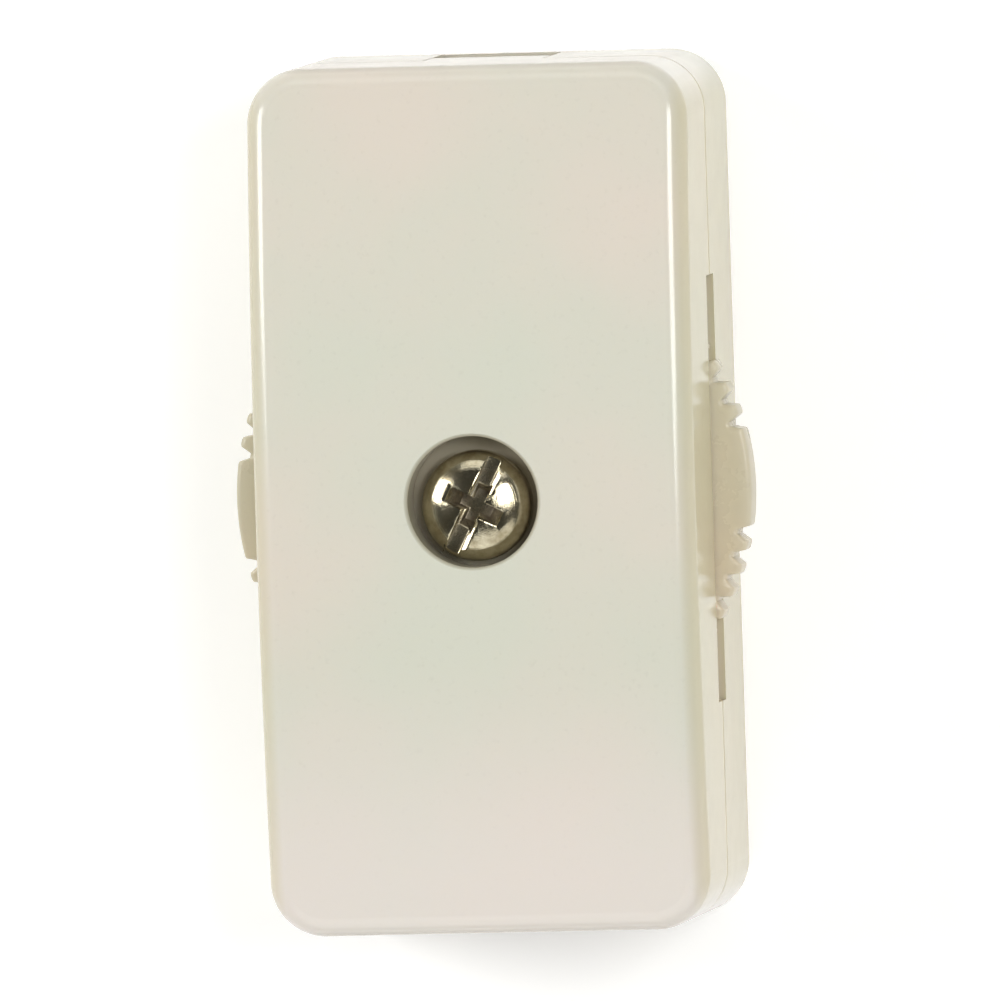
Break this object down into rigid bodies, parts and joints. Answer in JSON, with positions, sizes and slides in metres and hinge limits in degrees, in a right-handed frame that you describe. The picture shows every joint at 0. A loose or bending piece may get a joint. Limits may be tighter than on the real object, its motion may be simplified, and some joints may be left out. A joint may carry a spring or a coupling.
{
  "type": "inline cord switch",
  "caption": "Small inline rotary switch for a flat lamp cord: two moulded covers held by a centre screw, the front one slightly arched, with a notched thumb wheel that shows through a slot in each long side.",
  "frame": {"origin": "on the axis of the wheel and the centre screw, in the plane of the flat back", "axes": "+Z from the back out of the front face along the wheel's axis, +Y along the cord through the length of the switch, +X to the right when the front is looked at with +Y up"},
  "size_m": [0.0305, 0.0508, 0.019],
  "materials": {
    "ivory_plastic": "glossy moulded ivory plastic",
    "wheel_plastic": "glossy moulded plastic, a slightly warmer ivory",
    "brass": "stamped brass strip, bare",
    "spring_bronze": "rolled phosphor bronze spring strip",
    "spring_steel": "plain spring steel",
    "nickel_plate": "nickel plated steel, a little dulled"
  },
  "bodies": {
    "case": {"front_cover": "ivory_plastic", "back_cover": "ivory_plastic", "line_terminal": "brass", "load_terminal": "brass", "line_contact_spring": "spring_bronze", "load_contact_spring": "spring_bronze", "contact_rivets": "brass", "piercing_pins": "brass", "wheel_spring_washer": "spring_steel", "centre_screw": "nickel_plate", "clamp_nut": "nickel_plate"},
    "wheel": {"thumb_wheel": "wheel_plastic", "bridging_contact": "brass"}
  },
  "joints": [
    {"name": "wheel_turn", "type": "hinge", "parent": "case", "child": "wheel", "pos_m": [0, 0, 0.0095], "axis": [0, 0, 1], "continuous": true, "deforming": ["line_contact_spring", "load_contact_spring"]}
  ]
}
